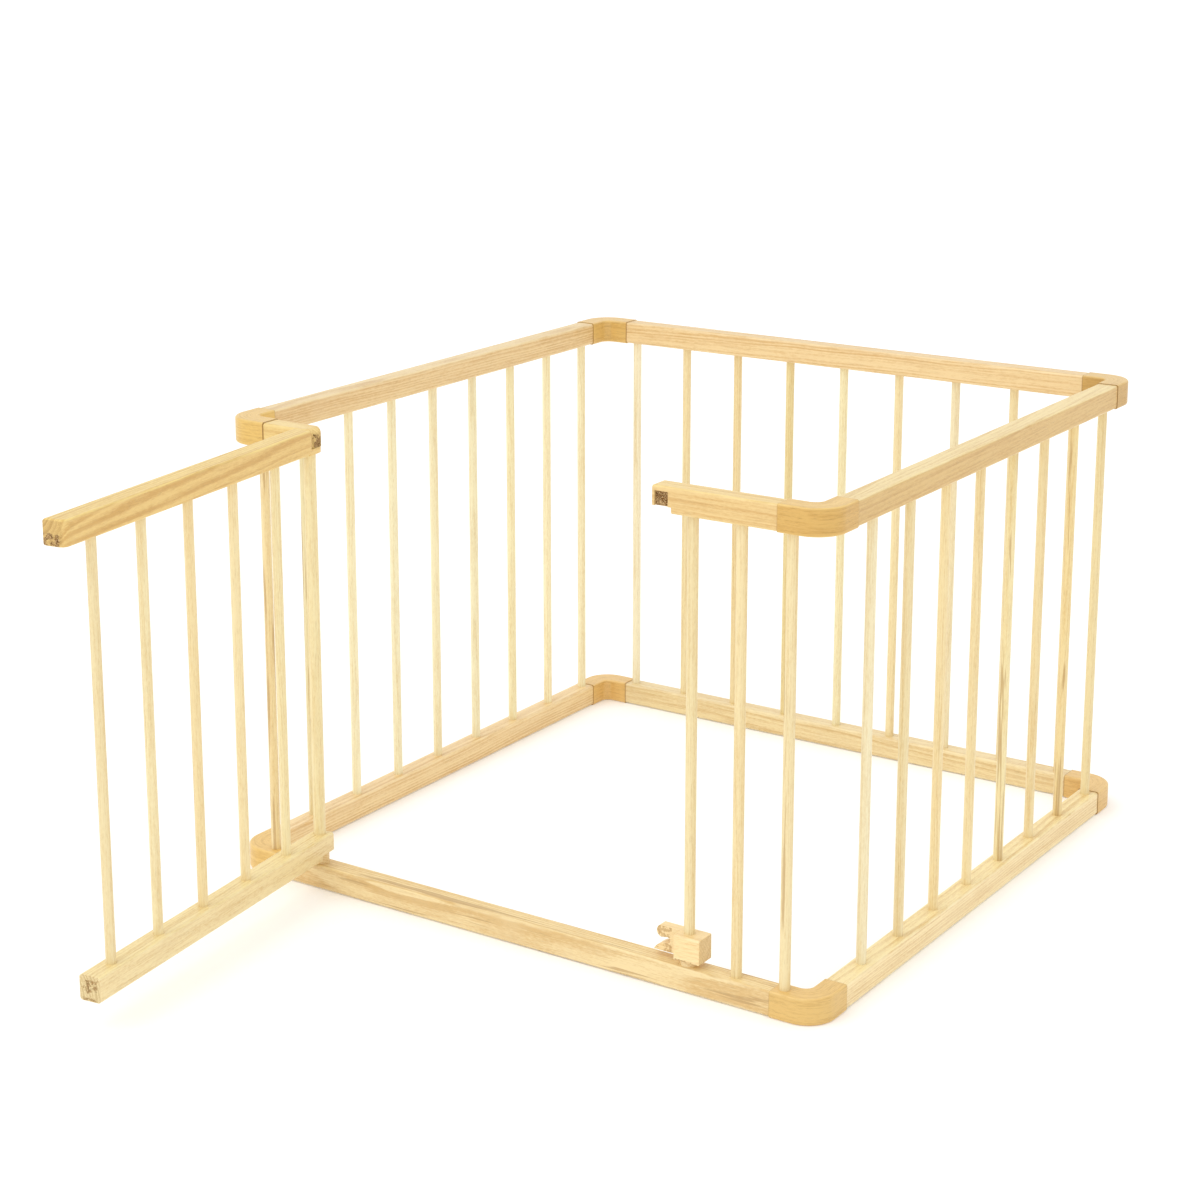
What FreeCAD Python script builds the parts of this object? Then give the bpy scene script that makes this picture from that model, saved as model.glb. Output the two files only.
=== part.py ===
# Wooden playpen with a swinging gate. Millimetres, +Z up, +X along the front, +Y to the back.
# Square frame of rails on four corner blocks at the floor and four at the top, round spars between them,
# a gate hung on a dowel at the left of the front opening, and a sliding catch on the post at its right.
import FreeCAD, Part
import os, math
from FreeCAD import Vector, Rotation, Placement
import Sketcher

os.makedirs("parts", exist_ok=True)
doc = FreeCAD.newDocument("Playpen")

# ---------------------------------------------------------------- driving sizes
sheet = doc.addObject("Spreadsheet::Sheet", "Sizes")
SIZES = [
    ("pen_width", 1000.0, "outside, corner block to corner block"),
    ("pen_height", 700.0, "floor to the top of the corner blocks"),
    ("rail_height", 36.0, "all rails"),
    ("rail_thick", 33.0, "all rails"),
    ("rail_round", 4.0, "long edges of the rails"),
    ("block_leg", 76.0, "corner block, outer corner to seam"),
    ("block_proud", 1.0, "corner block stands proud of the rails"),
    ("block_outer_round", 44.0, "outer corner, in plan"),
    ("block_inner_round", 13.0, "inner corner, in plan"),
    ("block_round", 3.5, "long edges of the corner blocks"),
    ("spar_dia", 14.0, "spars of the sides, back and gate"),
    ("front_spar_dia", 15.0, "spars right of the opening, and the catch post"),
    ("hinge_dia", 18.0, "hinge dowel"),
    ("socket_deep", 16.5, "blind holes that hold the spars"),
    ("spar_in", 16.0, "length of a spar inside a rail"),
    ("glue_gap", 0.05, "radial gap of a glued spar"),
    ("run_gap", 0.07, "radial gap where something turns or slides on a dowel"),
    ("left_first", 341.0, "minus y of the left side's first spar"),
    ("left_pitch", 107.5, "left side, eight spars"),
    ("right_first", 352.0, "minus y of the right side's first spar"),
    ("right_pitch", 108.8, "right side, eight spars"),
    ("back_first", 411.0, "minus x of the back's first spar"),
    ("back_pitch", 102.0, "back, nine spars"),
    ("gate_pitch", 104.0, "gate, five spars"),
    ("gate_first", 90.0, "hinge dowel to the first gate spar"),
    ("front_pitch", 73.5, "front, right of the opening"),
    ("last_front_spar", 438.0, "x of the rightmost front spar"),
    ("first_front_spar", 438.0, "minus x of the leftmost front spar"),
    ("hinge_x", 352.0, "minus x of the hinge dowel"),
    ("lap_high", 9.0, "height of the lower quarter cut away at a lap"),
    ("lap_gap", 0.5, "gap between the two halves of a lap"),
    ("lap_reach", 18.5, "hinge axis to the shoulder of the stub"),
    ("gate_shoulder", 19.0, "hinge axis to the shoulder of the gate's top rail"),
    ("gate_top_long", 578.0, "hinge axis to the free end of the top rail"),
    ("gate_bottom_long", 552.0, "hinge axis to the free end of the bottom rail"),
    ("gate_gap", 8.0, "gate's bottom rail above the frame's"),
    ("gate_open", 83.0, "degrees open at rest"),
    ("gate_end_round", 12.0, "inner upright edge of the free end"),
    ("tongue_tip", 237.0, "x of the right stub's tip"),
    ("tongue_long", 30.0, "right stub, tip to shoulder"),
    ("recess_size", 20.0, "square recess in the tongue's front"),
    ("recess_deep", 3.0, "its depth"),
    ("pin_dia", 10.0, "dowel pins between rails and corner blocks"),
    ("pin_long", 40.0, "their length"),
    ("pin_up", 9.0, "pin axis from the outer horizontal face of a block"),
    ("catch_left", 15.0, "catch cheek left of the post"),
    ("catch_right", 25.0, "catch body right of the post"),
    ("catch_reach", 56.0, "post axis to the catch's finger tips"),
    ("spacer_dia", 27.0, "spacers under the gate and the catch"),
    ("origin_shift", 279.10, "pen centre behind the origin"),
]
for i, (alias, value, note) in enumerate(SIZES, 1):
    sheet.set("A%d" % i, alias)
    sheet.set("B%d" % i, repr(value))
    sheet.set("C%d" % i, note)
    sheet.setAlias("B%d" % i, alias)
doc.recompute()
V = {a: v for a, v, n in SIZES}


def q(expr):
    """Turns words of the sheet into references."""
    out, word = "", ""
    for c in expr + " ":
        if c.isalnum() or c == "_":
            word += c
        else:
            out += ("Sizes." + word) if word in V else word
            word = ""
            out += c
    return out.strip()


def num(expr):
    """The same expression as a number, worked out from the sheet's values."""
    toks, word = [], ""
    for c in expr + " ":
        if c.isalnum() or c in "_.":
            word += c
        else:
            if word:
                toks.append(V[word] if word in V else float(word))
                word = ""
            if c in "+-*/()":
                toks.append(c)
    pos = [0]

    def atom():
        x = toks[pos[0]]
        pos[0] += 1
        if x == "(":
            r = add()
            pos[0] += 1
            return r
        if x == "-":
            return -atom()
        return x

    def mul():
        r = atom()
        while pos[0] < len(toks) and toks[pos[0]] in ("*", "/"):
            o = toks[pos[0]]
            pos[0] += 1
            b = atom()
            r = r * b if o == "*" else r / b
        return r

    def add():
        r = mul()
        while pos[0] < len(toks) and toks[pos[0]] in ("+", "-"):
            o = toks[pos[0]]
            pos[0] += 1
            b = mul()
            r = r + b if o == "+" else r - b
        return r

    return add()


def bind(obj, prop, expr):
    obj.setExpression(prop, q(expr))


def plane(body, role):
    for f in body.Origin.OriginFeatures:
        if f.Role == role:
            return f
    raise RuntimeError("no plane " + role)


def body_new(name):
    b = doc.addObject("PartDesign::Body", name)
    b.Label = name
    return b


def sketch(body, name, role, off=None, x=None, y=None):
    """A sketch on one of the body's own planes, moved along it by x and y and off it by off."""
    s = body.newObject("Sketcher::SketchObject", body.Name + "_" + name)
    s.AttachmentSupport = [(plane(body, role), "")]
    s.MapMode = "FlatFace"
    if off is not None:
        bind(s, "AttachmentOffset.Base.z", off)
    if x is not None:
        bind(s, "AttachmentOffset.Base.x", x)
    if y is not None:
        bind(s, "AttachmentOffset.Base.y", y)
    return s


def rect(s, wide, high, x0="0", centred=True):
    """Rectangle of wide by high. Its left edge is at x0; it is centred on the horizontal axis, or stands on it."""
    w, h_, a = num(wide), num(high), num(x0)
    lo = -h_ / 2 if centred else 0.0
    P = [Vector(a, lo, 0), Vector(a + w, lo, 0), Vector(a + w, lo + h_, 0), Vector(a, lo + h_, 0)]
    for i in range(4):
        s.addGeometry(Part.LineSegment(P[i], P[(i + 1) % 4]), False)
    C = Sketcher.Constraint
    for i in range(4):
        s.addConstraint(C("Coincident", i, 2, (i + 1) % 4, 1))
    s.addConstraint([C("Horizontal", 0), C("Horizontal", 2), C("Vertical", 1), C("Vertical", 3)])
    k = s.addConstraint(C("DistanceX", 0, 1, 0, 2, w))
    s.setExpression("Constraints[%d]" % k, q(wide))
    k = s.addConstraint(C("DistanceY", 1, 1, 1, 2, h_))
    s.setExpression("Constraints[%d]" % k, q(high))
    if centred:
        k = s.addConstraint(C("DistanceY", 0, 1, -1, 1, h_ / 2))
        s.setExpression("Constraints[%d]" % k, q("(" + high + ") / 2"))
    else:
        s.addConstraint(C("PointOnObject", 0, 1, -1))
    if abs(a) < 1e-9:
        s.addConstraint(C("PointOnObject", 0, 1, -2))
    elif a > 0:
        k = s.addConstraint(C("DistanceX", -1, 1, 0, 1, a))
        s.setExpression("Constraints[%d]" % k, q(x0))
    else:
        k = s.addConstraint(C("DistanceX", 0, 1, -1, 1, -a))
        s.setExpression("Constraints[%d]" % k, q("-(" + x0 + ")"))


def rect_mid(s, wide, high):
    """Rectangle of wide by high, centred sideways and standing on the horizontal axis."""
    w, h_ = num(wide), num(high)
    P = [Vector(-w / 2, 0, 0), Vector(w / 2, 0, 0), Vector(w / 2, h_, 0), Vector(-w / 2, h_, 0)]
    for i in range(4):
        s.addGeometry(Part.LineSegment(P[i], P[(i + 1) % 4]), False)
    C = Sketcher.Constraint
    for i in range(4):
        s.addConstraint(C("Coincident", i, 2, (i + 1) % 4, 1))
    s.addConstraint([C("Horizontal", 0), C("Horizontal", 2), C("Vertical", 1), C("Vertical", 3)])
    k = s.addConstraint(C("DistanceX", 0, 1, 0, 2, w))
    s.setExpression("Constraints[%d]" % k, q(wide))
    k = s.addConstraint(C("DistanceY", 1, 1, 1, 2, h_))
    s.setExpression("Constraints[%d]" % k, q(high))
    s.addConstraint(C("Symmetric", 0, 1, 0, 2, -1, 1))


def circle(s, dia):
    s.addGeometry(Part.Circle(Vector(0, 0, 0), Vector(0, 0, 1), num(dia) / 2), False)
    s.addConstraint(Sketcher.Constraint("Coincident", 0, 3, -1, 1))
    k = s.addConstraint(Sketcher.Constraint("Diameter", 0, num(dia)))
    s.setExpression("Constraints[%d]" % k, q(dia))


def both_sides(f):
    if "SideType" in f.PropertiesList:
        f.SideType = "Symmetric"
    else:
        f.Midplane = True


def pad(body, s, long, sym=False):
    f = body.newObject("PartDesign::Pad", body.Name + "_pad%d" % len(body.Group))
    f.Profile = s
    f.Length = num(long)
    bind(f, "Length", long)
    if sym:
        both_sides(f)
    body.Tip = f
    doc.recompute()
    return f


def pocket(body, s, deep=None, back=False, sym=False):
    """deep None cuts through everything. back cuts along the sketch's own normal."""
    before = body.Shape.Volume
    f = body.newObject("PartDesign::Pocket", body.Name + "_pocket%d" % len(body.Group))
    f.Profile = s
    if deep is None:
        f.Type = "ThroughAll"
        both_sides(f)
    else:
        f.Length = num(deep)
        bind(f, "Length", deep)
        if sym:
            both_sides(f)
    f.Reversed = back
    body.Tip = f
    doc.recompute()
    if not body.Shape.Volume < before - 1.0:
        raise RuntimeError("pocket cuts nothing: " + f.Name)
    return f


def fillet(body, radius, pick):
    base = body.Tip
    names = ["Edge%d" % (i + 1) for i, e in enumerate(base.Shape.Edges) if pick(e)]
    if not names:
        raise RuntimeError("no edges to round on " + body.Name)
    f = body.newObject("PartDesign::Fillet", body.Name + "_fillet%d" % len(body.Group))
    f.Base = (base, names)
    f.Radius = num(radius)
    bind(f, "Radius", radius)
    body.Tip = f
    doc.recompute()
    if f.Shape.isNull() or not f.Shape.isValid():
        raise RuntimeError("fillet fails: " + f.Name)
    return f


def row(body, f, s, span, count):
    """Repeats a pocket along its sketch's horizontal axis."""
    p = body.newObject("PartDesign::LinearPattern", body.Name + "_row")
    p.Originals = [f]
    p.Direction = (s, ["H_Axis"])
    p.Length = num(span)
    bind(p, "Length", span)
    p.Occurrences = count
    body.Tip = p
    doc.recompute()
    return p


def mirror(body, f, role):
    m = body.newObject("PartDesign::Mirrored", body.Name + "_mirror")
    m.Originals = [f]
    m.MirrorPlane = (plane(body, role), [""])
    body.Tip = m
    doc.recompute()
    return m


def along_x(e):
    a, b = e.Vertexes[0].Point, e.Vertexes[-1].Point
    return len(e.Vertexes) == 2 and abs((b - a).x) > 20 and abs((b - a).y) < 1e-4 and abs((b - a).z) < 1e-4


def upright_at(x, y=None, z=None):
    def ok(e):
        if len(e.Vertexes) != 2:
            return False
        a, b = e.Vertexes[0].Point, e.Vertexes[-1].Point
        d = b - a
        if abs(d.x) > 1e-4 or abs(d.y) > 1e-4 or abs(d.z) < 5:
            return False
        if abs(a.x - x) > 1e-3 or (y is not None and abs(a.y - y) > 1e-3):
            return False
        return z is None or (z[0] <= min(a.z, b.z) + 1e-3 and max(a.z, b.z) <= z[1] + 1e-3)

    return ok


def end_edges(x):
    """The edges round a rail's end face at x."""

    def ok(e):
        return all(abs(v.Point.x - x) < 1e-3 for v in e.Vertexes) and abs(e.BoundBox.XLength) < 1e-3

    return ok


def place(obj, x, y, z, turn=0.0):
    """Puts a sub-part in the shared frame: y is measured from the pen's centre."""
    obj.Placement = Placement(Vector(x, y + V["origin_shift"], z), Rotation(Vector(0, 0, 1), turn))


PARTS = []
t = V["rail_thick"]
face = V["pen_width"] / 2 - V["block_proud"]          # outer face of the rails
mid = face - t / 2                                    # centre plane of a side
seam = V["pen_width"] / 2 - V["block_leg"]            # rail ends
block_high = V["rail_height"] + 2 * V["block_proud"]
z_low = V["block_proud"]                              # underside of the bottom rails
z_top = V["pen_height"] - V["block_proud"] - V["rail_height"]  # underside of the top rails
rail_long = "(pen_width - 2 * block_leg)"


def sockets(body, top, dia, first, span=None, count=1, tag=""):
    """Blind holes for spars along the local x axis, from the top face down or from the underside up."""
    s = sketch(body, "sockets" + tag, "XY_Plane", off=None if top else "rail_height", x=first)
    circle(s, dia + " + 2 * glue_gap")
    f = pocket(body, s, "socket_deep", back=top)
    if count > 1:
        row(body, f, s, span, count)
    return f


def pin_hole(body, x, top, back, tag=""):
    """Hole for a dowel pin in an end face; the pin lies away from the spars' side of the rail."""
    up = "rail_height - pin_up + block_proud" if top else "pin_up - block_proud"
    s = sketch(body, "pin" + tag, "YZ_Plane", off=x, y=up)
    circle(s, "pin_dia + 2 * glue_gap")
    return pocket(body, s, "pin_long / 2 + 0.5", back=back)


def full_rail(name, top, spars):
    b = body_new(name)
    s = sketch(b, "section", "YZ_Plane")
    rect_mid(s, "rail_thick", "rail_height")
    pad(b, s, rail_long, sym=True)
    fillet(b, "rail_round", along_x)
    f = pin_hole(b, rail_long + " / 2", top, False)
    mirror(b, f, "YZ_Plane")
    for k, (dia, first, span, count) in enumerate(spars):
        sockets(b, top, dia, first, span, count, "%d" % k)
    PARTS.append(b)
    return b


def spar_row(side, count):
    return ("spar_dia", "-%s_first" % side, "%s_pitch * %d" % (side, count - 1), count)


# ---------------------------------------------------------------- the frame's full rails
for level, top, z in (("bottom", False, z_low), ("top", True, z_top)):
    r = full_rail("rail_%s_left" % level, top, [spar_row("left", 8)])
    place(r, -mid, 0, z, 90)
    r = full_rail("rail_%s_back" % level, top, [spar_row("back", 9)])
    place(r, 0, mid, z, 0)
    r = full_rail("rail_%s_right" % level, top, [spar_row("right", 8)])
    place(r, mid, 0, z, 90)
r = full_rail(
    "rail_bottom_front",
    False,
    [
        ("hinge_dia", "-hinge_x", None, 1),
        ("front_spar_dia", "last_front_spar - 2 * front_pitch", "front_pitch", 2),
    ],
)
place(r, 0, -mid, z_low, 0)

# ---------------------------------------------------------------- the two stubs of the top front rail
# left stub: local x = 0 at the seam, running towards the opening; its tip carries the hinge
left_long = "(pen_width / 2 - block_leg - hinge_x + rail_thick / 2)"
b = body_new("rail_top_front_left")
s = sketch(b, "section", "YZ_Plane")
rect_mid(s, "rail_thick", "rail_height")
pad(b, s, left_long)
fillet(b, "rail_round", along_x)
s = sketch(b, "lap", "XZ_Plane")
rect(s, "lap_reach + rail_thick / 2 + 5", "lap_high", x0=left_long + " - rail_thick / 2 - lap_reach", centred=False)
pocket(b, s, None)
L = num(left_long)
fillet(b, "rail_thick / 2 - 1.5", upright_at(L))
pin_hole(b, "0", True, True)
s = sketch(b, "hinge_hole", "XY_Plane", off="lap_high", x=left_long + " - rail_thick / 2")
circle(s, "hinge_dia + 2 * glue_gap")
pocket(b, s, "socket_deep + 1", back=True)
PARTS.append(b)
place(b, -seam, -mid, z_top, 0)

# right stub: local x = 0 at its tip
right_long = "(pen_width / 2 - block_leg - tongue_tip)"
b = body_new("rail_top_front_right")
s = sketch(b, "section", "YZ_Plane")
rect_mid(s, "rail_thick", "rail_height")
pad(b, s, right_long)
fillet(b, "rail_round", along_x)
s = sketch(b, "lap", "XZ_Plane")
rect(s, "tongue_long", "lap_high", x0="0", centred=False)
pocket(b, s, None)
fillet(b, "rail_round - 1.5", upright_at(0))
s = sketch(b, "recess", "XZ_Plane", off="rail_thick / 2", x="5", y="lap_high")
rect(s, "recess_size", "recess_size", x0="0", centred=False)
pocket(b, s, "recess_deep", back=False)
pin_hole(b, right_long, True, False)
sockets(b, True, "front_spar_dia", "last_front_spar - 2 * front_pitch - tongue_tip", "front_pitch", 2, "0")
PARTS.append(b)
place(b, V["tongue_tip"], -mid, z_top, 0)


# ---------------------------------------------------------------- corner blocks
def corner_block(name, top, spar=None):
    """Local origin at the outer corner, legs along +x and +y; spar is (x, y, diameter) of its spar's hole."""
    b = body_new(name)
    s = sketch(b, "plan", "XY_Plane")
    a = V["block_leg"]
    w = t + 2 * V["block_proud"]
    ro, ri = V["block_outer_round"], V["block_inner_round"]
    G = [
        Part.LineSegment(Vector(ro, 0, 0), Vector(a, 0, 0)),
        Part.LineSegment(Vector(a, 0, 0), Vector(a, w, 0)),
        Part.LineSegment(Vector(a, w, 0), Vector(w + ri, w, 0)),
        Part.ArcOfCircle(Part.Circle(Vector(w + ri, w + ri, 0), Vector(0, 0, 1), ri), math.pi, 1.5 * math.pi),
        Part.LineSegment(Vector(w, w + ri, 0), Vector(w, a, 0)),
        Part.LineSegment(Vector(w, a, 0), Vector(0, a, 0)),
        Part.LineSegment(Vector(0, a, 0), Vector(0, ro, 0)),
        Part.ArcOfCircle(Part.Circle(Vector(ro, ro, 0), Vector(0, 0, 1), ro), math.pi, 1.5 * math.pi),
    ]
    for g in G:
        s.addGeometry(g, False)
    C = Sketcher.Constraint
    s.addConstraint(
        [
            C("Coincident", 0, 2, 1, 1), C("Coincident", 1, 2, 2, 1), C("Tangent", 2, 2, 3, 2),
            C("Tangent", 3, 1, 4, 1), C("Coincident", 4, 2, 5, 1), C("Coincident", 5, 2, 6, 1),
            C("Tangent", 6, 2, 7, 1), C("Tangent", 7, 2, 0, 1),
            C("Horizontal", 0), C("Vertical", 1), C("Horizontal", 2), C("Vertical", 4), C("Horizontal", 5), C("Vertical", 6),
            C("PointOnObject", 0, 1, -1), C("PointOnObject", 6, 1, -2),
        ]
    )
    for con, expr in (
        (C("Radius", 7, ro), "block_outer_round"),
        (C("Radius", 3, ri), "block_inner_round"),
        (C("DistanceX", -1, 1, 0, 2, a), "block_leg"),
        (C("DistanceY", -1, 1, 6, 1, a), "block_leg"),
        (C("DistanceY", 1, 1, 1, 2, w), "rail_thick + 2 * block_proud"),
        (C("DistanceX", 5, 2, 5, 1, w), "rail_thick + 2 * block_proud"),
    ):
        k = s.addConstraint(con)
        s.setExpression("Constraints[%d]" % k, q(expr))
    pad(b, s, "rail_height + 2 * block_proud")

    def flat(e):
        z0 = e.Vertexes[0].Point.z
        if any(abs(v.Point.z - z0) > 1e-4 for v in e.Vertexes):
            return False
        c = e.BoundBox
        return not (abs(c.XMin - a) < 1e-3 and abs(c.XMax - a) < 1e-3) and not (abs(c.YMin - a) < 1e-3 and abs(c.YMax - a) < 1e-3)

    fillet(b, "block_round", flat)
    up = "rail_height + 2 * block_proud - pin_up" if top else "pin_up"
    s = sketch(b, "pin_x", "YZ_Plane", off="block_leg", x="rail_thick / 2 + block_proud", y=up)
    circle(s, "pin_dia + 2 * glue_gap")
    pocket(b, s, "pin_long / 2 + 0.5")
    s = sketch(b, "pin_y", "XZ_Plane", off="-block_leg", x="rail_thick / 2 + block_proud", y=up)
    circle(s, "pin_dia + 2 * glue_gap")
    pocket(b, s, "pin_long / 2 + 0.5", back=True)
    if spar:
        s = sketch(b, "spar", "XY_Plane", off=None if top else "rail_height + 2 * block_proud", x=spar[0], y=spar[1])
        circle(s, spar[2] + " + 2 * glue_gap")
        pocket(b, s, "socket_deep + block_proud", back=top)
    PARTS.append(b)
    return b


half = V["pen_width"] / 2
for level, top, z in (("bottom", False, 0.0), ("top", True, V["pen_height"] - block_high)):
    for where, x, y, turn in (
        ("front_left", -half, -half, 0),
        ("front_right", half, -half, 90),
        ("back_right", half, half, 180),
        ("back_left", -half, half, 270),
    ):
        leg = "rail_thick / 2 + block_proud"
        hole = {
            "front_right": (leg, "pen_width / 2 - last_front_spar", "front_spar_dia"),
            "front_left": ("pen_width / 2 - first_front_spar", leg, "spar_dia"),
        }.get(where)
        c = corner_block("corner_%s_%s" % (level, where), top, hole)
        place(c, x, y, z, turn)


# ---------------------------------------------------------------- spars: plain dowels, each its own piece
def spar(name, dia, x, y, z0, long, turn_place=None):
    c = doc.addObject("Part::Cylinder", name)
    c.Label = name
    bind(c, "Radius", dia + " / 2")
    bind(c, "Height", long)
    if turn_place is None:
        place(c, x, y, z0)
    else:
        c.Placement = turn_place
    PARTS.append(c)
    return c


spar_z = z_low + V["rail_height"] - V["spar_in"]
spar_long = "pen_height - 2 * block_proud - 2 * rail_height + 2 * spar_in"
for i in range(8):
    spar("spar_left_%d" % (i + 1), "spar_dia", -mid, i * V["left_pitch"] - V["left_first"], spar_z, spar_long)
for i in range(9):
    spar("spar_back_%d" % (i + 1), "spar_dia", i * V["back_pitch"] - V["back_first"], mid, spar_z, spar_long)
for i in range(8):
    spar("spar_right_%d" % (i + 1), "spar_dia", mid, i * V["right_pitch"] - V["right_first"], spar_z, spar_long)
spar("spar_front_1", "spar_dia", -V["first_front_spar"], -mid, spar_z, spar_long)
spar("catch_post", "front_spar_dia", V["last_front_spar"] - 2 * V["front_pitch"], -mid, spar_z, spar_long)
spar("spar_front_2", "front_spar_dia", V["last_front_spar"] - V["front_pitch"], -mid, spar_z, spar_long)
spar("spar_front_3", "front_spar_dia", V["last_front_spar"], -mid, spar_z, spar_long)
spar("hinge_dowel", "hinge_dia", -V["hinge_x"], -mid, spar_z, spar_long + " + 1 + lap_high")

# ---------------------------------------------------------------- pins between rails and corner blocks
pins = []
for level, z in (("bottom", V["pin_up"]), ("top", V["pen_height"] - V["pin_up"])):
    for sx in (-1, 1):
        for sy in (-1, 1):
            for ax in ("x", "y"):
                p = doc.addObject("Part::Cylinder", "pin_%s_%d_%d_%s" % (level, sx + 1, sy + 1, ax))
                bind(p, "Radius", "pin_dia / 2")
                bind(p, "Height", "pin_long")
                L2 = V["pin_long"] / 2
                if ax == "x":
                    p.Placement = Placement(Vector(sx * seam - L2, sy * mid, z), Rotation(Vector(0, 1, 0), 90))
                else:
                    p.Placement = Placement(Vector(sx * mid, sy * seam - L2, z), Rotation(Vector(-1, 0, 0), 90))
                pins.append(p)
group = doc.addObject("Part::Compound", "corner_pins")
group.Label = "corner_pins"
group.Links = pins
place(group, 0, 0, 0)
PARTS.append(group)


# ---------------------------------------------------------------- spacers
def ring(name, dia, bore, high, x, z):
    b = body_new(name)
    s = sketch(b, "ring", "XY_Plane")
    s.addGeometry(Part.Circle(Vector(0, 0, 0), Vector(0, 0, 1), num(dia) / 2), False)
    s.addGeometry(Part.Circle(Vector(0, 0, 0), Vector(0, 0, 1), num(bore) / 2), False)
    for k, e in ((0, dia), (1, bore)):
        s.addConstraint(Sketcher.Constraint("Coincident", k, 3, -1, 1))
        c = s.addConstraint(Sketcher.Constraint("Diameter", k, num(e)))
        s.setExpression("Constraints[%d]" % c, q(e))
    pad(b, s, high)
    PARTS.append(b)
    place(b, x, -mid, z)
    return b


rail_top_z = z_low + V["rail_height"]
ring("hinge_spacer", "spacer_dia", "hinge_dia + 2 * glue_gap", "gate_gap + lap_high - lap_gap", -V["hinge_x"], rail_top_z)
post_x = V["last_front_spar"] - 2 * V["front_pitch"]
ring("catch_spacer", "spacer_dia", "front_spar_dia + 2 * glue_gap", "gate_gap - lap_gap", post_x, rail_top_z)

# ---------------------------------------------------------------- the gate: local x runs from the hinge axis to the free end
gate_turn = -V["gate_open"]
axis = Vector(-V["hinge_x"], -mid + V["origin_shift"], 0)


def on_gate(x, y, z):
    r = Rotation(Vector(0, 0, 1), gate_turn)
    return Placement(axis + r.multVec(Vector(x, y, 0)) + Vector(0, 0, z), r)


b = body_new("gate_top_rail")
s = sketch(b, "section", "YZ_Plane", off="gate_shoulder")
rect_mid(s, "rail_thick", "rail_height")
pad(b, s, "gate_top_long - gate_shoulder")
Lg = V["gate_top_long"]
fillet(b, "gate_end_round", upright_at(Lg, t / 2))
fillet(b, "rail_round", lambda e: along_x(e))
s = sketch(b, "lug", "XY_Plane")
R = t / 2
e_ = V["gate_shoulder"] + 4.0
s.addGeometry(Part.ArcOfCircle(Part.Circle(Vector(0, 0, 0), Vector(0, 0, 1), R), math.pi / 2, 1.5 * math.pi), False)
s.addGeometry(Part.LineSegment(Vector(0, -R, 0), Vector(e_, -R, 0)), False)
s.addGeometry(Part.LineSegment(Vector(e_, -R, 0), Vector(e_, R, 0)), False)
s.addGeometry(Part.LineSegment(Vector(e_, R, 0), Vector(0, R, 0)), False)
C = Sketcher.Constraint
s.addConstraint(
    [C("Coincident", 0, 3, -1, 1), C("Tangent", 0, 2, 1, 1), C("Coincident", 1, 2, 2, 1), C("Coincident", 2, 2, 3, 1),
     C("Tangent", 3, 2, 0, 1), C("Horizontal", 1), C("Vertical", 2), C("Horizontal", 3)]
)
k = s.addConstraint(C("Radius", 0, R))
s.setExpression("Constraints[%d]" % k, q("rail_thick / 2"))
k = s.addConstraint(C("DistanceX", -1, 1, 1, 2, e_))
s.setExpression("Constraints[%d]" % k, q("gate_shoulder + 4"))
pad(b, s, "lap_high - lap_gap")
s = sketch(b, "bore", "XY_Plane")
circle(s, "hinge_dia + 2 * run_gap")
pocket(b, s, None)
sockets(b, True, "spar_dia", "gate_first", "gate_pitch * 4", 5, "0")
PARTS.append(b)
b.Placement = on_gate(0, 0, z_top)

gate_z = rail_top_z + V["gate_gap"]
b = body_new("gate_bottom_rail")
s = sketch(b, "section", "YZ_Plane", off="-(rail_thick / 2)")
rect_mid(s, "rail_thick", "rail_height")
pad(b, s, "gate_bottom_long + rail_thick / 2")
fillet(b, "rail_round", along_x)
s = sketch(b, "lap", "XZ_Plane")
rect(s, "lap_reach + rail_thick / 2 + 5", "lap_high", x0="-(rail_thick / 2 + 5)", centred=False)
pocket(b, s, None)
fillet(b, "rail_round + 2", upright_at(-t / 2))
s = sketch(b, "bore", "XY_Plane")
circle(s, "hinge_dia + 2 * run_gap")
pocket(b, s, None)
sockets(b, False, "spar_dia", "gate_first", "gate_pitch * 4", 5, "0")
PARTS.append(b)
b.Placement = on_gate(0, 0, gate_z)

gs_z = gate_z + V["rail_height"] - V["spar_in"]
gs_long = "pen_height - 2 * block_proud - 3 * rail_height - gate_gap + 2 * spar_in"
for i in range(5):
    spar("gate_spar_%d" % (i + 1), "spar_dia", 0, 0, 0, gs_long,
         on_gate(V["gate_first"] + i * V["gate_pitch"], 0, gs_z))

# ---------------------------------------------------------------- the catch: local origin on the post's axis
b = body_new("gate_catch")
s = sketch(b, "plan", "XY_Plane")
rect(s, "catch_reach + catch_right", "rail_thick", x0="-catch_reach", centred=True)
pad(b, s, "rail_height")
s = sketch(b, "front_cut", "XY_Plane", y="-(rail_thick / 2)")
rect(s, "catch_reach - catch_left + 5", "rail_thick", x0="-(catch_reach + 5)", centred=True)
pocket(b, s, None)
# the two fingers: a ramped lower one, a hooked upper one, and the mouth between them
s = sketch(b, "mouth", "XZ_Plane")
tip = V["catch_reach"]
hh = V["rail_height"]


def arc3(a, m, c):
    return Part.Arc(Vector(a[0], a[1], 0), Vector(m[0], m[1], 0), Vector(c[0], c[1], 0))


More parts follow.
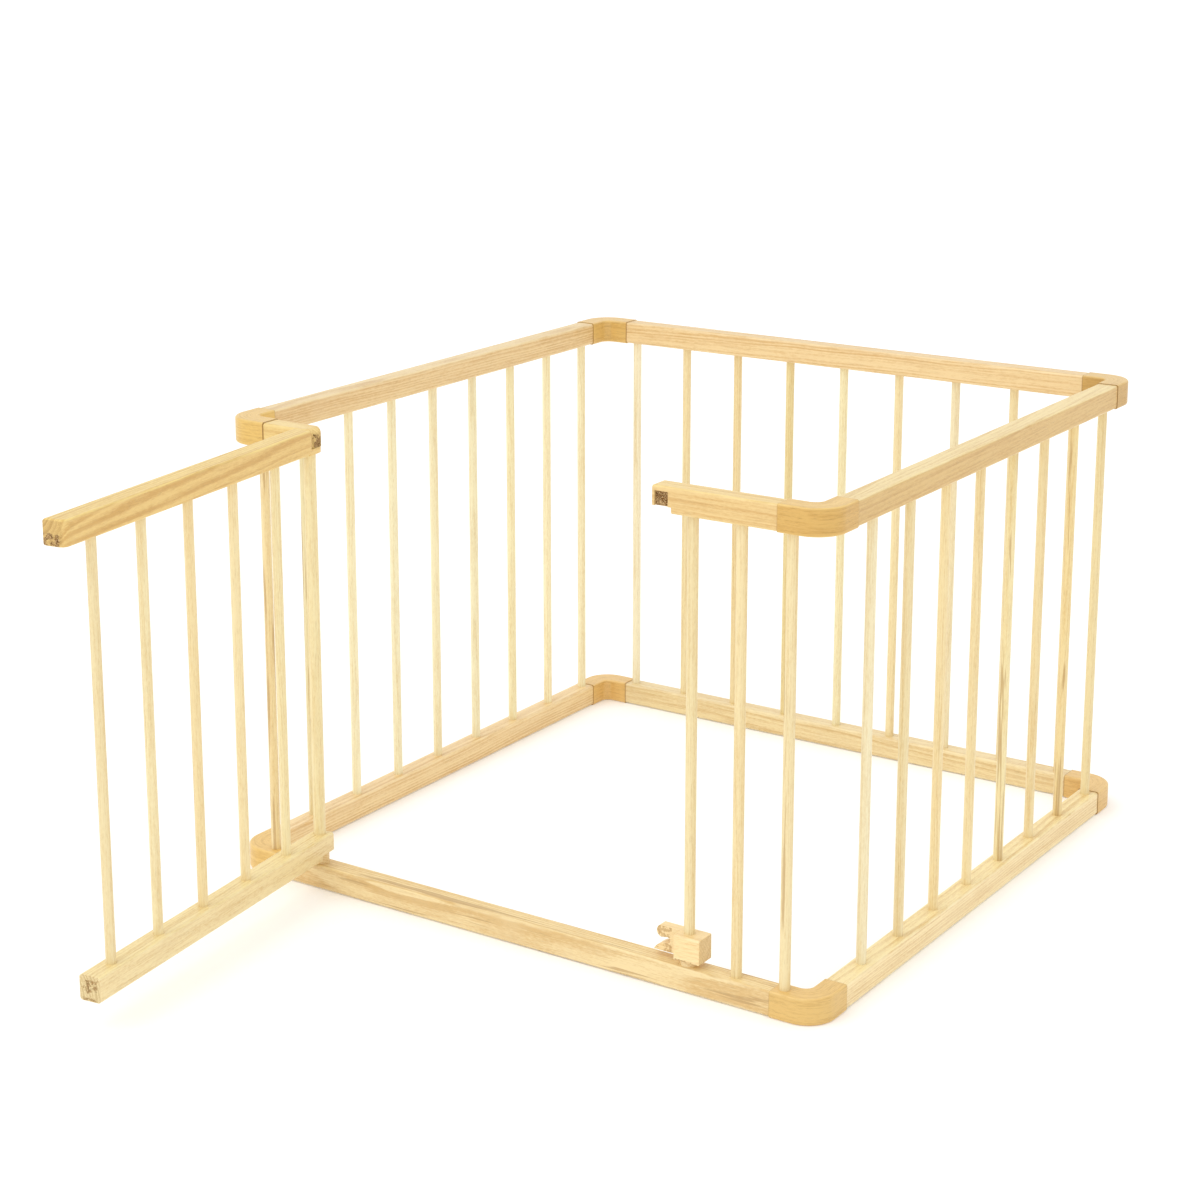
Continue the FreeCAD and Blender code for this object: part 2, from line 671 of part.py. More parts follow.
pts = dict(
    a=(-tip - 3, 1.5), b=(-tip + 0.5, 1.5), c=(-tip + 21, 12.0), d=(-tip + 21, 21.0), e=(-tip + 11, 19.5),
    f=(-tip + 10, hh + 1.0), g=(-tip - 3, hh + 1.0),
)
G = [
    Part.LineSegment(Vector(*pts["a"], 0), Vector(*pts["b"], 0)),
    arc3(pts["b"], (-tip + 9, 9.6), pts["c"]),
    arc3(pts["c"], (-tip + 25.5, 16.5), pts["d"]),
    Part.LineSegment(Vector(*pts["d"], 0), Vector(*pts["e"], 0)),
    arc3(pts["e"], (-tip + 4.2, 28.5), pts["f"]),
    Part.LineSegment(Vector(*pts["f"], 0), Vector(*pts["g"], 0)),
    Part.LineSegment(Vector(*pts["g"], 0), Vector(*pts["a"], 0)),
]
for g in G:
    s.addGeometry(g, False)
pocket(b, s, None)
s = sketch(b, "bore", "XY_Plane")
circle(s, "front_spar_dia + 2 * run_gap")
pocket(b, s, None)


def catch_edges(e):
    c = e.BoundBox
    flat_top = abs(c.ZMin - hh) < 1e-3 and abs(c.ZMax - hh) < 1e-3 or abs(c.ZMin) < 1e-3 and abs(c.ZMax) < 1e-3
    straight = len(e.Vertexes) == 2
    right = abs(c.XMin - V["catch_right"]) < 1e-3 and abs(c.XMax - V["catch_right"]) < 1e-3
    front = flat_top and straight and abs(c.YMin + t / 2) < 1e-3 and abs(c.YMax + t / 2) < 1e-3
    rear = flat_top and straight and abs(c.YMin - t / 2) < 1e-3 and abs(c.YMax - t / 2) < 1e-3
    return right or front or rear


fillet(b, "1.5", catch_edges)
PARTS.append(b)
place(b, post_x, -mid, gate_z)

# ---------------------------------------------------------------- checks and files
doc.recompute()
bad = []
for o in doc.Objects:
    st = [x for x in o.State if x in ("Invalid", "Error")]
    if st:
        bad.append((o.Name, st))
if bad:
    raise RuntimeError("objects in error: %r" % bad)
names = set()
lo, hi = [1e9] * 3, [-1e9] * 3
for o in PARTS:
    sh = o.Shape
    if sh.isNull() or not sh.isValid():
        raise RuntimeError("bad shape: " + o.Label)
    if o.Label in names:
        raise RuntimeError("name twice: " + o.Label)
    names.add(o.Label)
    want = 16 if o.Label == "corner_pins" else 1
    if len(sh.Solids) != want:
        raise RuntimeError("%s has %d solids" % (o.Label, len(sh.Solids)))
    bb = sh.BoundBox
    for i, (a, c) in enumerate(((bb.XMin, bb.XMax), (bb.YMin, bb.YMax), (bb.ZMin, bb.ZMax))):
        lo[i], hi[i] = min(lo[i], a), max(hi[i], c)
    sh.exportStep("parts/%s.step" % o.Label)
print("parts", len(PARTS), "low", [round(x, 3) for x in lo], "high", [round(x, 3) for x in hi])
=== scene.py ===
import bpy, bmesh, math
from mathutils import Vector, Matrix


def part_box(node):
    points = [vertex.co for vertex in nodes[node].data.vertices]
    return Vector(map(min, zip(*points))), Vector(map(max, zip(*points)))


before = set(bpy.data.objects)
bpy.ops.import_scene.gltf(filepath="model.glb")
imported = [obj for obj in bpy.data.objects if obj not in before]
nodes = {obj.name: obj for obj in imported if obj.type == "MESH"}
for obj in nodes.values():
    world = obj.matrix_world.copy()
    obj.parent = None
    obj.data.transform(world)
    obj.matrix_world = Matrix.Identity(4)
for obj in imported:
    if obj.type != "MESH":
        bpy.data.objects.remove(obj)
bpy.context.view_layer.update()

# ---------------------------------------------------------------- places, in metres
S = 0.2791             # the pen's centre is this far behind the origin
MID = 0.4825           # centre plane of each side
HINGE = Vector((-0.352, S - MID, 0.0))
GATE_TURN = math.radians(-83.0)
POST = Vector((0.291, S - MID, 0.0))


class Rng:
    """A small fixed sequence, so that every run gives the same wood."""

    def __init__(self, seed):
        self.v = (seed * 7919 + 104729) % 2147483647

    def __call__(self, lo=0.0, hi=1.0):
        self.v = (self.v * 48271 + 11) % 2147483647
        return lo + (hi - lo) * (self.v / 2147483647.0)


# ---------------------------------------------------------------- node helpers
class Tree:
    def __init__(self, name):
        self.mat = bpy.data.materials.new(name)
        self.mat.use_nodes = True
        self.nt = self.mat.node_tree
        self.nt.nodes.clear()
        self.out = self.nt.nodes.new("ShaderNodeOutputMaterial")
        self.bsdf = self.nt.nodes.new("ShaderNodeBsdfPrincipled")
        self.nt.links.new(self.bsdf.outputs[0], self.out.inputs[0])
        self.tc = self.nt.nodes.new("ShaderNodeTexCoord")

    def put(self, socket, value):
        if isinstance(value, bpy.types.NodeSocket):
            self.nt.links.new(value, socket)
        else:
            socket.default_value = value

    def math(self, op, a, b=0.0, c=None, clamp=False):
        n = self.nt.nodes.new("ShaderNodeMath")
        n.operation = op
        n.use_clamp = clamp
        self.put(n.inputs[0], a)
        self.put(n.inputs[1], b)
        if c is not None:
            self.put(n.inputs[2], c)
        return n.outputs[0]

    def add(self, a, b):
        return self.math("ADD", a, b)

    def sub(self, a, b):
        return self.math("SUBTRACT", a, b)

    def mul(self, a, b):
        return self.math("MULTIPLY", a, b)

    def step(self, x, lo, hi, a=0.0, b=1.0):
        """Smooth step of x from a at lo to b at hi."""
        n = self.nt.nodes.new("ShaderNodeMapRange")
        n.interpolation_type = "SMOOTHSTEP"
        n.clamp = True
        self.put(n.inputs["Value"], x)
        self.put(n.inputs["From Min"], lo)
        self.put(n.inputs["From Max"], hi)
        self.put(n.inputs["To Min"], a)
        self.put(n.inputs["To Max"], b)
        return n.outputs["Result"]

    def vec(self, x, y, z):
        n = self.nt.nodes.new("ShaderNodeCombineXYZ")
        for i, v in enumerate((x, y, z)):
            self.put(n.inputs[i], v)
        return n.outputs[0]

    def split(self, v):
        n = self.nt.nodes.new("ShaderNodeSeparateXYZ")
        self.nt.links.new(v, n.inputs[0])
        return n.outputs[0], n.outputs[1], n.outputs[2]

    def local(self, where, turn):
        """Object coordinates seen from a board that stands at where, turned by turn."""
        n = self.nt.nodes.new("ShaderNodeMapping")
        n.vector_type = "TEXTURE"
        n.inputs["Location"].default_value = where
        n.inputs["Rotation"].default_value = turn
        self.nt.links.new(self.tc.outputs["Object"], n.inputs["Vector"])
        return n.outputs[0]

    def scaled(self, v, scale, shift):
        n = self.nt.nodes.new("ShaderNodeMapping")
        n.vector_type = "POINT"
        n.inputs["Scale"].default_value = scale
        n.inputs["Location"].default_value = shift
        self.nt.links.new(v, n.inputs["Vector"])
        return n.outputs[0]

    def noise(self, v, scale=1.0, detail=2.0, rough=0.5, twist=0.0):
        n = self.nt.nodes.new("ShaderNodeTexNoise")
        n.noise_dimensions = "3D"
        self.nt.links.new(v, n.inputs["Vector"])
        n.inputs["Scale"].default_value = scale
        n.inputs["Detail"].default_value = detail
        n.inputs["Roughness"].default_value = rough
        n.inputs["Distortion"].default_value = twist
        return n.outputs[0]

    def mix(self, f, a, b, kind="MIX"):
        n = self.nt.nodes.new("ShaderNodeMix")
        n.data_type = "RGBA"
        n.blend_type = kind
        n.clamp_factor = True
        self.put(n.inputs["Factor"], f)
        for name, v in (("A", a), ("B", b)):
            s = [q for q in n.inputs if q.name == name and q.type == "RGBA"][0]
            if isinstance(v, bpy.types.NodeSocket):
                self.nt.links.new(v, s)
            else:
                s.default_value = (*v, 1.0)
        return [q for q in n.outputs if q.type == "RGBA"][0]

    def scale_colour(self, c, f):
        """Colour c times the number f."""
        n = self.nt.nodes.new("ShaderNodeVectorMath")
        n.operation = "SCALE"
        self.nt.links.new(c, n.inputs[0])
        self.put(n.inputs["Scale"], f)
        return n.outputs[0]


PALE = {
    "rail": ((0.88, 0.665, 0.345), (0.70, 0.445, 0.175)),
    "corner": ((0.80, 0.53, 0.215), (0.64, 0.385, 0.125)),
    "spar": ((0.90, 0.73, 0.42), (0.76, 0.54, 0.25)),
    "catch": ((0.93, 0.72, 0.38), (0.78, 0.52, 0.22)),
}


def wood(name, kind, uvw_of, seed, grain_axis=None, heart=None, ring=0.0046, tilt=0.0, half=None, tint=1.0,
         warm=0.0, streak=0.0, patches=(), seams=(), strong=1.0, fine=1.0, tone=None, painted_side_shading=None):
    """Lacquered pale wood. u runs along the grain, v and w across it. heart is where the rings' centre lies in v and w,
    half the board's half sizes in v and w, for the smoother long edges with their painted highlight; patches darken
    rough sawn places; seams are dark lines at places along u."""
    t = Tree(name)
    rng = Rng(seed)
    uvw = uvw_of(t)
    u, v, w = t.split(uvw)
    off = (rng(0, 40), rng(0, 40), rng(0, 40))
    if heart is None:
        a = rng(0, 2 * math.pi)
        r = rng(0.05, 0.10)
        heart = (r * math.cos(a), r * math.sin(a))
    light, dark = PALE[kind]
    light = tuple(c * tint * k for c, k in zip(light, (1.0, 1.0 - 0.25 * warm, 1.0 - 0.7 * warm)))
    dark = tuple(c * tint * k for c, k in zip(dark, (1.0, 1.0 - 0.25 * warm, 1.0 - 0.7 * warm)))

    # growth rings round the heart, wandering along the board
    sway = t.noise(t.scaled(uvw, (3.2, 9.0, 9.0), off), 1.0, 2.0, 0.5)
    slow = t.noise(t.scaled(uvw, (1.1, 5.0, 5.0), (off[1], off[2], off[0])), 1.0, 1.0, 0.5)
    dv, dw = t.sub(v, heart[0]), t.sub(w, heart[1])
    rad = t.math("SQRT", t.add(t.mul(dv, dv), t.mul(dw, dw)))
    rad = t.add(rad, t.mul(u, tilt))
    rad = t.add(rad, t.mul(t.sub(sway, 0.5), 0.011))
    rad = t.add(rad, t.mul(t.sub(slow, 0.5), 0.030))
    spread = t.noise(t.vec(t.mul(rad, 95.0), off[0], off[1]), 1.0, 1.0, 0.5)
    phase = t.add(t.mul(rad, 1.0 / ring), t.mul(spread, 1.7))
    part = t.math("FRACT", phase)
    late = t.mul(t.step(part, 0.10, 0.78), t.step(part, 0.80, 1.0, 1.0, 0.0))
    which = t.math("FLOOR", phase)
    each = t.noise(t.vec(t.mul(which, 0.73), off[2], off[0]), 1.0, 0.0, 0.5)
    late = t.mul(late, t.step(each, 0.30, 0.68, 0.40, 1.0))

    # fibres: long fine streaks, and short dark pores in the late wood
    fib = t.noise(t.scaled(uvw, (16.0, 620.0, 620.0), off), 1.0, 3.0, 0.62)
    hair = t.noise(t.scaled(uvw, (60.0, 2300.0, 2300.0), (off[2], off[0], off[1])), 1.0, 2.0, 0.6)
    pores = t.step(hair, 0.585, 0.70)
    cloud = t.noise(t.scaled(uvw, (7.0, 22.0, 22.0), (off[0], off[2], off[1])), 1.0, 3.0, 0.55)

    fleck = t.noise(t.scaled(uvw, (130.0, 480.0, 480.0), (off[1], off[2], off[0])), 1.0, 3.0, 0.65)
    broad = t.noise(t.scaled(uvw, (2.6, 75.0, 75.0), (off[2], off[1], off[0])), 1.0, 2.0, 0.5)
    f = t.mul(late, 0.55 * strong)
    f = t.add(f, t.mul(t.sub(fib, 0.5), 1.85 * fine))
    f = t.add(f, t.mul(t.sub(fleck, 0.5), 1.55 * fine))
    f = t.add(f, t.mul(t.sub(broad, 0.5), 1.10))
    f = t.add(f, t.mul(t.sub(cloud, 0.5), 1.10))
    f = t.math("MAXIMUM", t.add(f, 0.10), 0.0)
    colour = t.mix(f, light, dark)
    pale = t.mul(t.step(cloud, 0.52, 0.75), 0.30)
    colour = t.mix(pale, colour, tuple(min(0.97, c * k) for c, k in zip(light, (1.06, 1.12, 1.26))))
    colour = t.mix(t.mul(t.mul(pores, t.add(t.mul(late, 0.7), 0.3)), 0.52 * fine), colour, tuple(c * 0.52 for c in dark))
    if streak > 0:
        band = t.noise(t.scaled(uvw, (5.5, 150.0, 150.0), (off[1], off[0], off[2])), 1.0, 2.0, 0.5, 0.4)
        colour = t.mix(t.mul(t.step(band, 0.60 - 0.12 * streak, 0.68 - 0.10 * streak), 0.62), colour, (0.46, 0.26, 0.09))

    rough = t.add(0.36, t.mul(fib, 0.14))
    height = t.add(t.mul(late, 0.35), t.mul(fib, 0.5))
    height = t.sub(height, t.mul(pores, 0.55))

    # end grain: darker, matt and open, arcs instead of lines
    if grain_axis is not None:
        n = t.nt.nodes.new("ShaderNodeVectorMath")
        n.operation = "DOT_PRODUCT"
        t.nt.links.new(t.tc.outputs["Normal"], n.inputs[0])
        n.inputs[1].default_value = grain_axis
        end = t.step(t.math("ABSOLUTE", n.outputs["Value"]), 0.72, 0.93)
        dots = t.noise(t.scaled(uvw, (900.0, 900.0, 900.0), off), 1.0, 2.0, 0.6)
        colour = t.mix(t.mul(end, 0.55), colour, t.mix(t.step(dots, 0.35, 0.66), tuple(c * 0.74 for c in dark), tuple(c * 0.90 for c in light)))
        colour = t.mix(t.mul(t.mul(end, late), 0.45), colour, tuple(c * 0.62 for c in dark))
        rough = t.add(rough, t.mul(end, 0.22))
        height = t.add(height, t.mul(t.mul(end, dots), 1.1))

    # the long edges are rubbed smoother, and a painted highlight makes them a little paler
    if half is not None:
        ev = t.step(t.math("ABSOLUTE", v), half[0] - 0.0052, half[0] - 0.0004)
        ew = t.step(t.math("ABSOLUTE", w), half[1] - 0.0052, half[1] - 0.0004)
        rubbed_edge_highlight = t.mul(t.mul(ev, ew), t.step(t.noise(t.scaled(uvw, (24.0, 60.0, 60.0), off), 1.0, 2.0), 0.30, 0.66))
        # painted highlight: the edges are mixed towards a paler colour
        colour = t.mix(t.mul(rubbed_edge_highlight, 0.55), colour, tuple(min(0.98, c * k) for c, k in zip(light, (1.08, 1.16, 1.34))))
        rough = t.sub(rough, t.mul(rubbed_edge_highlight, 0.07))

    # each board has its own tone, and its sides get painted shading against its top, darker on some boards and lighter
    # on others, standing in for how the light falls
    if tone is not None:
        colour = t.mix(1.0, colour, tone, "MULTIPLY")
    if painted_side_shading is not None:
        # painted shading: the faces that do not point up are multiplied by the side factor
        _, _, nz = t.split(t.tc.outputs["Normal"])
        up = t.step(t.math("ABSOLUTE", nz), 0.30, 0.80, 1.0, 0.0)
        colour = t.mix(up, colour, t.mix(1.0, colour, painted_side_shading, "MULTIPLY"))

    # dark lines where two boards meet
    for at, dark_line in seams:
        line = t.step(t.math("ABSOLUTE", t.sub(u, at)), 0.0003, 0.0013, 1.0, 0.0)
        colour = t.mix(t.mul(line, dark_line), colour, (0.40, 0.225, 0.075))
        height = t.sub(height, t.mul(line, 1.5))

    # rough sawn, darkened places without lacquer
    coat = None
    for k, p in enumerate(patches):
        lo, hi, amount = p["lo"], p["hi"], p.get("amount", 1.0)
        wob = t.noise(t.scaled(uvw, (170.0, 170.0, 170.0), (off[0] + 3 * k + p.get("pick", 0), off[1], off[2])), 1.0, 2.0, 0.55)
        m = None
        for c, a, b in ((u, lo[0], hi[0]), (v, lo[1], hi[1]), (w, lo[2], hi[2])):
            for edge, sign in ((a, 1), (b, -1)):
                if edge is None:
                    continue
                d = t.mul(t.sub(c, edge), sign)
                d = t.add(d, t.mul(t.sub(wob, 0.5), p.get("ragged", 0.008)))
                s = t.step(d, -0.0004, 0.0010)
                m = s if m is None else t.mul(m, s)
        sharp = None
        if p.get("face"):
            q = t.nt.nodes.new("ShaderNodeVectorMath")
            q.operation = "DOT_PRODUCT"
            t.nt.links.new(t.tc.outputs["Normal"], q.inputs[0])
            q.inputs[1].default_value = p["face"]
            sharp = t.step(q.outputs["Value"], 0.55, 0.8)
            m = t.mul(m, sharp)
        vein = t.noise(t.scaled(uvw, (260.0, 260.0, 260.0), (off[2] + k, off[0], off[1])), 1.0, 2.0, 0.5, 1.4)
        line = t.step(t.math("ABSOLUTE", t.sub(vein, 0.5)), 0.012, 0.060, 1.0, 0.0)
        mott = t.noise(t.scaled(uvw, (420.0, 420.0, 420.0), (off[1] + k, off[2], off[0])), 1.0, 3.0, 0.6)
        brown = t.mix(t.step(mott, 0.34, 0.66), p.get("deep", (0.115, 0.058, 0.022)), p.get("brown", (0.30, 0.165, 0.065)))
        brown = t.mix(t.mul(line, p.get("veins", 0.75)), brown, (0.66, 0.45, 0.22))
        if p.get("gaps", 0) > 0:
            hole = t.step(wob, 0.50 - 0.14 * p["gaps"], 0.56, 1.0, 0.0)
            m = t.mul(m, t.sub(1.0, t.mul(hole, p["gaps"])))
        colour = t.mix(t.mul(m, amount), colour, brown)
        bare = t.sub(1.0, m)
        coat = bare if coat is None else t.mul(coat, bare)
        rough = t.add(rough, t.mul(m, 0.30))
        height = t.sub(height, t.mul(m, t.add(1.2, t.mul(vein, 3.0))))

    t.put(t.bsdf.inputs["Base Color"], colour)
    t.put(t.bsdf.inputs["Roughness"], t.math("MINIMUM", t.math("MAXIMUM", rough, 0.2), 0.92))
    t.put(t.bsdf.inputs["Specular IOR Level"], 0.42 if coat is None else t.mul(coat, 0.42))
    t.put(t.bsdf.inputs["Coat Weight"], 0.22 if coat is None else t.mul(coat, 0.22))
    t.bsdf.inputs["Coat Roughness"].default_value = 0.24
    b = t.nt.nodes.new("ShaderNodeBump")
    b.inputs["Strength"].default_value = 0.55
    b.inputs["Distance"].default_value = 0.00022
    t.nt.links.new(height, b.inputs["Height"])
    t.nt.links.new(b.outputs[0], t.bsdf.inputs["Normal"])
    return t.mat


def board(where, turn_z=0.0):
    return lambda t: t.local(where, (0.0, 0.0, turn_z))


def upright(where, turn):
    """Grain up: u is world Z. The dowel is turned about its own axis so that no two show the same rings."""
    def make(t):
        p = t.local(where, (0.0, math.radians(-90.0), 0.0))
        u, v, w = t.split(p)
        c, s = math.cos(turn), math.sin(turn)
        return t.vec(u, t.sub(t.mul(v, c), t.mul(w, s)), t.add(t.mul(v, s), t.mul(w, c)))
    return make


def bend(sx, sy, z):
    """Grain that follows a corner block round its bend: u along it, v outwards from the arc's centre, w up."""
    def make(t):
        x, y, zz = t.split(t.tc.outputs["Object"])
        dx = t.sub(t.mul(x, sx), 0.454)
        dy = t.sub(t.mul(t.sub(y, S), sy), 0.454)
        px, py = t.math("MAXIMUM", dx, 0.0), t.math("MAXIMUM", dy, 0.0)
        v = t.math("SQRT", t.add(t.mul(px, px), t.mul(py, py)))
        ang = t.math("ARCTAN2", px, t.math("MAXIMUM", py, 0.0000001))
        u = t.add(t.math("MINIMUM", dx, 0.0), t.mul(ang, 0.030))
        u = t.sub(u, t.math("MINIMUM", dy, 0.0))
        return t.vec(u, t.sub(v, 0.0285), t.sub(zz, z))
    return make


def dress(node, mat, shade=None):
    o = nodes[node]
    if not o.material_slots:
        o.data.materials.append(mat)
    for s in o.material_slots:
        s.link = "OBJECT"
        s.material = mat


def middle(node):
    lo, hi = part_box(node)
    return Vector([(a + b) / 2 for a, b in zip(lo, hi)])


# ---------------------------------------------------------------- the wood of each piece
X, Y, Z = (1, 0, 0), (0, 1, 0), (0, 0, 1)
HALF = (0.0165, 0.018)
rails = {
    # node: along, seed, heart (v, w), tilt, tint
    "rail_bottom_left": ("y", 3, (0.020, -0.060), 0.004, 0.99),
    "rail_bottom_back": ("x", 5, (0.050, -0.030), 0.006, 1.00),
    "rail_bottom_right": ("y", 7, (-0.030, -0.070), 0.003, 1.01),
    "rail_bottom_front": ("x", 11, (0.085, -0.004), 0.002, 1.00),
    "rail_top_left": ("y", 13, (-0.012, -0.040), 0.012, 0.96),
    "rail_top_back": ("x", 17, (0.018, 0.050), 0.010, 0.98),
    "rail_top_right": ("y", 19, (0.016, 0.046), 0.014, 0.97),
    "rail_top_front_left": ("x", 23, (0.060, 0.030), 0.0, 0.99),
    "rail_top_front_right": ("x", 29, (0.026, -0.034), 0.018, 0.99),
}
TONE_AND_SIDE_SHADING = {
    # node: (tone of the whole piece, painted shading of its sides against its top: below 1 darker, above 1 lighter)
    "rail_top_right": ((1.0, 1.05, 0.97), (0.84, 0.71, 0.53)),
    "rail_top_left": ((0.98, 1.0, 1.0), (1.02, 0.98, 0.98)),
    "rail_top_back": ((0.99, 0.98, 0.96), (1.02, 1.02, 1.06)),
    "rail_bottom_front": ((1.01, 1.05, 1.02), (1.0, 1.02, 1.12)),
    "rail_bottom_right": ((1.06, 1.16, 1.19), (1.01, 1.0, 1.08)),
    "rail_bottom_left": ((1.04, 1.05, 1.09), None),
    "rail_bottom_back": ((0.98, 1.05, 1.12), None),
    "rail_top_front_right": ((0.99, 0.98, 0.76), (0.96, 0.92, 1.0)),
    "rail_top_front_left": ((1.0, 1.0, 0.76), (0.98, 0.96, 0.95)),
    "gate_top_rail": ((1.0, 0.98, 0.63), (0.97, 0.92, 1.02)),
    "gate_bottom_rail": ((1.01, 1.09, 1.04), (1.02, 1.03, 1.15)),
    "corner_top_front_right": ((1.02, 1.03, 0.82), (0.88, 0.81, 0.69)),
    "corner_bottom_front_right": ((0.98, 0.99, 0.87), (0.95, 0.95, 0.92)),
    "corner_top_back_right": ((0.96, 0.98, 0.86), (0.81, 0.73, 0.54)),
    "corner_bottom_back_right": ((0.99, 1.0, 0.92), (0.97, 0.95, 0.90)),
    "corner_top_front_left": ((1.02, 1.03, 0.80), (1.0, 0.99, 0.88)),
    "corner_top_back_left": ((1.0, 1.01, 0.88), (0.95, 0.92, 0.82)),
    "corner_bottom_front_left": ((1.01, 1.02, 0.84), (0.98, 0.97, 0.90)),
    "corner_bottom_back_left": ((1.0, 1.0, 0.92), (0.98, 0.96, 0.90)),
    "hinge_dowel": ((0.99, 1.04, 1.06), None),
    "catch_post": ((1.0, 1.03, 1.05), None),
    "spar_left_1": ((1.0, 1.07, 1.12), None),
    "spar_left_6": ((1.02, 1.10, 1.17), None),
    "spar_right_1": ((1.03, 1.10, 1.25), None),
    "spar_right_5": ((1.03, 1.05, 1.0), None),
    "spar_right_7": ((0.96, 0.93, 0.82), None),
    "spar_right_8": ((0.95, 0.95, 0.90), None),
    "spar_back_1": ((1.05, 1.16, 1.45), None),
    "spar_back_4": ((0.97, 0.98, 0.88), None),
    "spar_back_5": ((1.01, 1.10, 1.20), None),
    "spar_back_7": ((1.02, 1.09, 1.25), None),
    "spar_back_9": ((0.94, 0.91, 0.82), None),
    "gate_spar_1": ((1.06, 1.10, 1.10), None),
    "gate_spar_4": ((1.04, 1.09, 1.14), None),
}
for k in (2, 3, 4, 5, 7, 8):
    TONE_AND_SIDE_SHADING["spar_left_%d" % k] = ((1.06, 1.17, 1.36), None)


def tone_and_side_shading(n):
    tone, painted_side_shading = TONE_AND_SIDE_SHADING.get(n, ((1.0, 1.0, 0.98), None))
    if "spar" in n or n in ("hinge_dowel", "catch_post"):
        return dict(tone=tuple(a * b for a, b in zip(tone, (0.955, 0.975, 0.97))), painted_side_shading=painted_side_shading)
    # every rail's sides also get a little painted shade against its top
    return dict(tone=tone, painted_side_shading=tuple(a * b for a, b in zip(painted_side_shading or (1.0, 1.0, 1.0), (0.965, 0.955, 0.93))))


for n, (along, seed, heart, tilt, tint) in rails.items():
    c = middle(n)
    seams = []
    patches = []
    where = c.copy()
    lo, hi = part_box(n)
    if n.startswith("rail_top_front"):
        where.y = S - MID
        where.z = 0.681
    k = 0 if along == "x" else 1
    ends = {"rail_bottom_left": (0.70, 0.45), "rail_top_left": (0.70, 0.60), "rail_bottom_right": (0.25, 0.70), "rail_top_right": (0.20, 0.85),
            "rail_bottom_front": (0.60, 0.30), "rail_bottom_back": (0.45, 0.70), "rail_top_back": (0.55, 0.80),
            "rail_top_front_left": (0.85, 0.85), "rail_top_front_right": (0.25, 0.25)}[n]
    bold = {"rail_bottom_front": 1.9, "rail_bottom_right": 1.3, "rail_bottom_left": 1.5, "rail_top_left": 1.3, "rail_top_back": 1.4}.get(n, 1.0)
    seams = [(lo[k] - where[k], ends[0]), (hi[k] - where[k], ends[1])]
    if n == "rail_top_front_left":
        seams = [seams[0]]
        tip = hi[0] - where.x
        patches = [dict(lo=(tip - 0.0012, -0.0160, -0.0082), hi=(None, 0.0070, 0.0088), face=X, ragged=0.016, veins=0.45,
                        deep=(0.135, 0.070, 0.024), brown=(0.34, 0.20, 0.085))]
    if n == "rail_top_front_right":
        seams = [seams[1]]
        patches = [dict(lo=(0.2418 - where.x, None, 0.6720 - 0.681), hi=(0.2622 - where.x, -0.0115, 0.6922 - 0.681), ragged=0.0016,
                        veins=0.95, deep=(0.085, 0.038, 0.012), brown=(0.24, 0.118, 0.040))]
    turn = 0.0 if along == "x" else math.radians(90.0)
    dress(n, wood("wood_" + n, "rail", board(where, turn), seed, grain_axis=X if along == "x" else Y, heart=heart, tilt=tilt,
                  half=HALF, tint=tint, seams=seams, patches=patches, strong=bold, streak=0.15 if n == "rail_bottom_front" else 0.0, **tone_and_side_shading(n)))

g = Vector((math.cos(GATE_TURN), math.sin(GATE_TURN), 0.0))
gm = nodes["gate_top_rail"]
dress("gate_top_rail", wood(
    "wood_gate_top_rail", "rail", board((HINGE.x, HINGE.y, 0.681), GATE_TURN), 31, grain_axis=tuple(g), heart=(-0.030, 0.026),
    tilt=-0.022, half=HALF, tint=0.97, strong=1.7, ring=0.0062, **tone_and_side_shading("gate_top_rail"),
    patches=[dict(lo=(0.5768, -0.0158, -0.0172), hi=(None, 0.0150, -0.0010), face=tuple(g), ragged=0.012, gaps=0.55, veins=0.9,
                  deep=(0.12, 0.060, 0.022), brown=(0.32, 0.18, 0.07))]))
dress("gate_bottom_rail", wood(
    "wood_gate_bottom_rail", "rail", board((HINGE.x, HINGE.y, 0.063), GATE_TURN), 37, grain_axis=tuple(g), heart=(-0.070, -0.022),
    tilt=0.006, half=HALF, tint=1.0, **tone_and_side_shading("gate_bottom_rail"),
    patches=[dict(lo=(0.5508, -0.0100, -0.0060), hi=(None, 0.0115, 0.0100), face=tuple(g), ragged=0.018, gaps=0.9, veins=0.8,
                  deep=(0.17, 0.088, 0.032), brown=(0.38, 0.22, 0.09), amount=0.85),
             dict(lo=(0.5508, -0.0150, -0.0175), hi=(None, 0.0150, -0.0140), face=tuple(g), ragged=0.008, gaps=0.8, pick=9,
                  deep=(0.17, 0.088, 0.032), brown=(0.38, 0.22, 0.09), amount=0.8)]))

i = 41
for lvl, zc in (("bottom", 0.019), ("top", 0.681)):
    for name, sx, sy in (("front_left", -1, -1), ("front_right", 1, -1), ("back_right", 1, 1), ("back_left", -1, 1)):
        n = "corner_%s_%s" % (lvl, name)
        rng = Rng(i)
        dress(n, wood("wood_" + n, "corner", bend(sx, sy, zc), i, grain_axis=None, heart=(rng(0.03, 0.06), rng(-0.05, 0.05)),
                      tilt=rng(-0.02, 0.02), half=(0.0175, 0.019), tint=1.03 if lvl == "bottom" else 0.99, strong=0.45, fine=1.35,
                      seams=[(q, {"front_right": 0.25, "back_left": 0.55}.get(name, 0.8)) for q in (-0.030, 0.030 * math.pi / 2 + 0.030)],
                      **tone_and_side_shading(n)))
        i += 2

